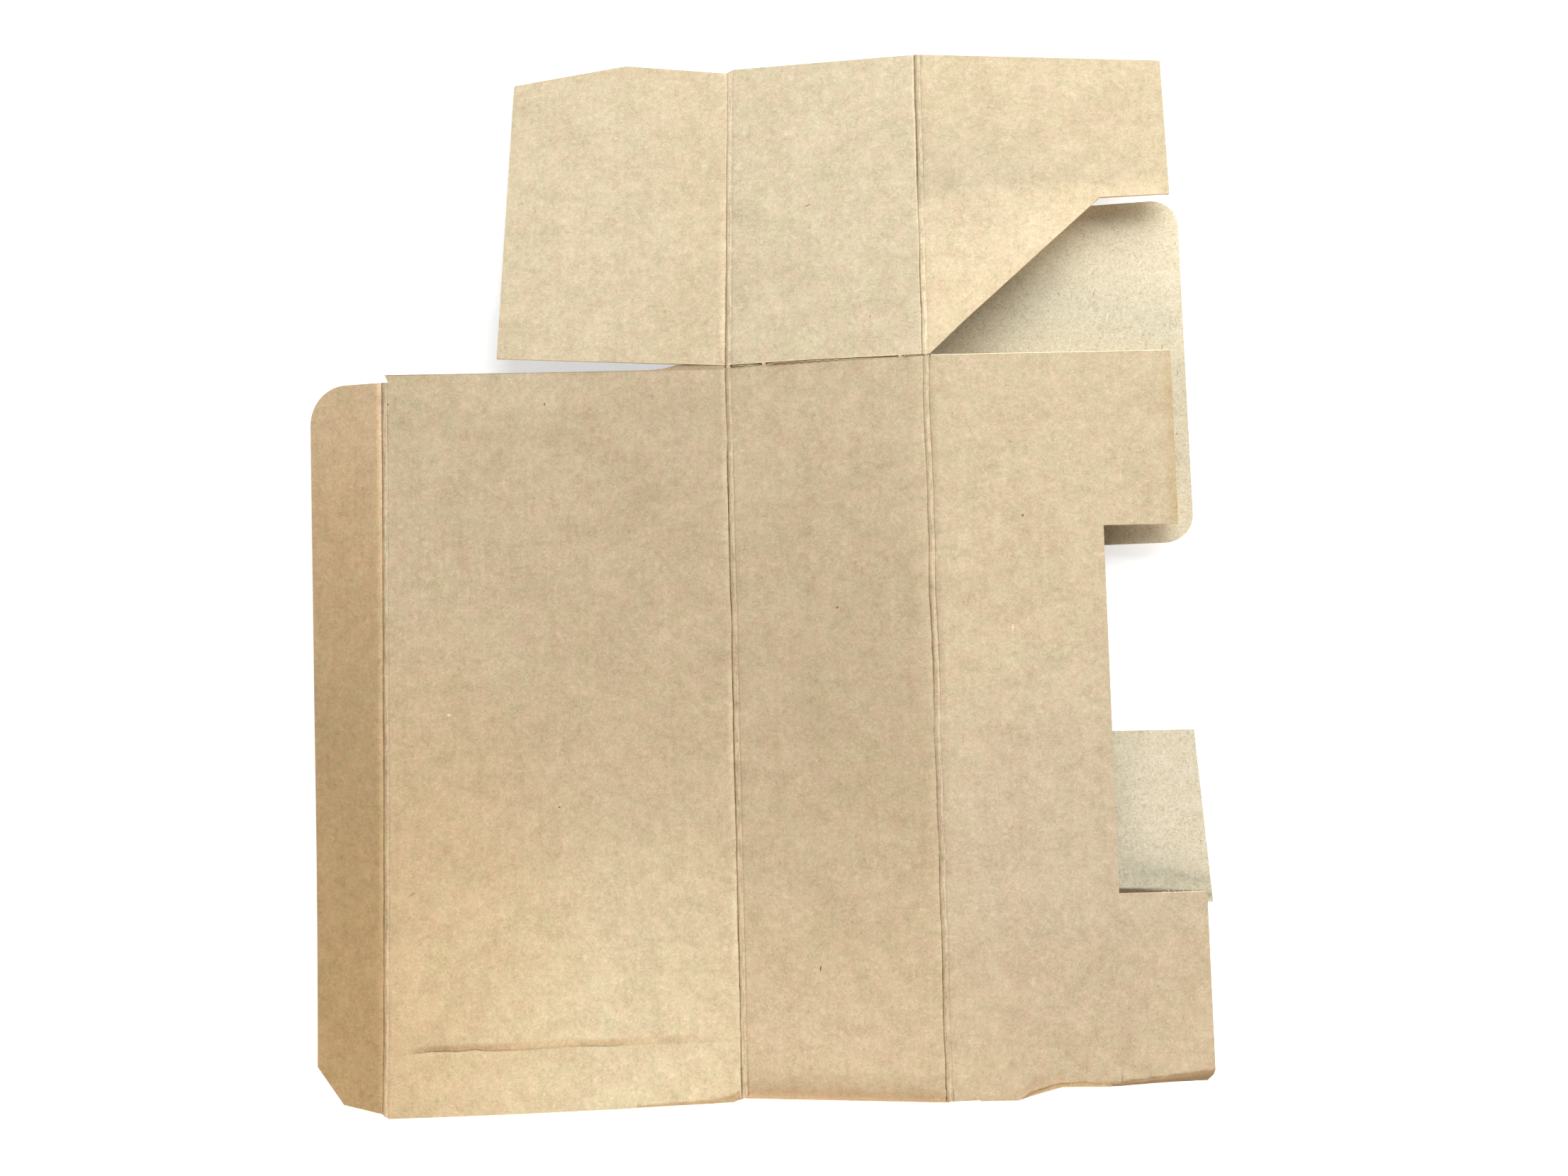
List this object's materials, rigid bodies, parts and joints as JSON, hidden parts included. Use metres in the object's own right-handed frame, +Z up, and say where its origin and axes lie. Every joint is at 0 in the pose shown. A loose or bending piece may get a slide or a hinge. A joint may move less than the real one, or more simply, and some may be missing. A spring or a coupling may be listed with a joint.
{
  "type": "flattened cardboard box",
  "caption": "Small folding box of thin brown board, opened up and lying half flat: side walls, a hinged lid with side flaps, a tuck strip and an inner strip turned under.",
  "frame": {"origin": "on the table, below the centre of the box around the whole sheet", "axes": "+Z up from the table, +Y along the walls towards the lid, +X across the walls towards the short wall"},
  "size_m": [0.249, 0.3, 0.0165],
  "materials": {
    "kraft_board": "uncoated paper board, brown on the outer side and grey with flecks on the inner side, matt"
  },
  "bodies": {
    "root": {"folded_blank": "kraft_board"}
  },
  "joints": []
}
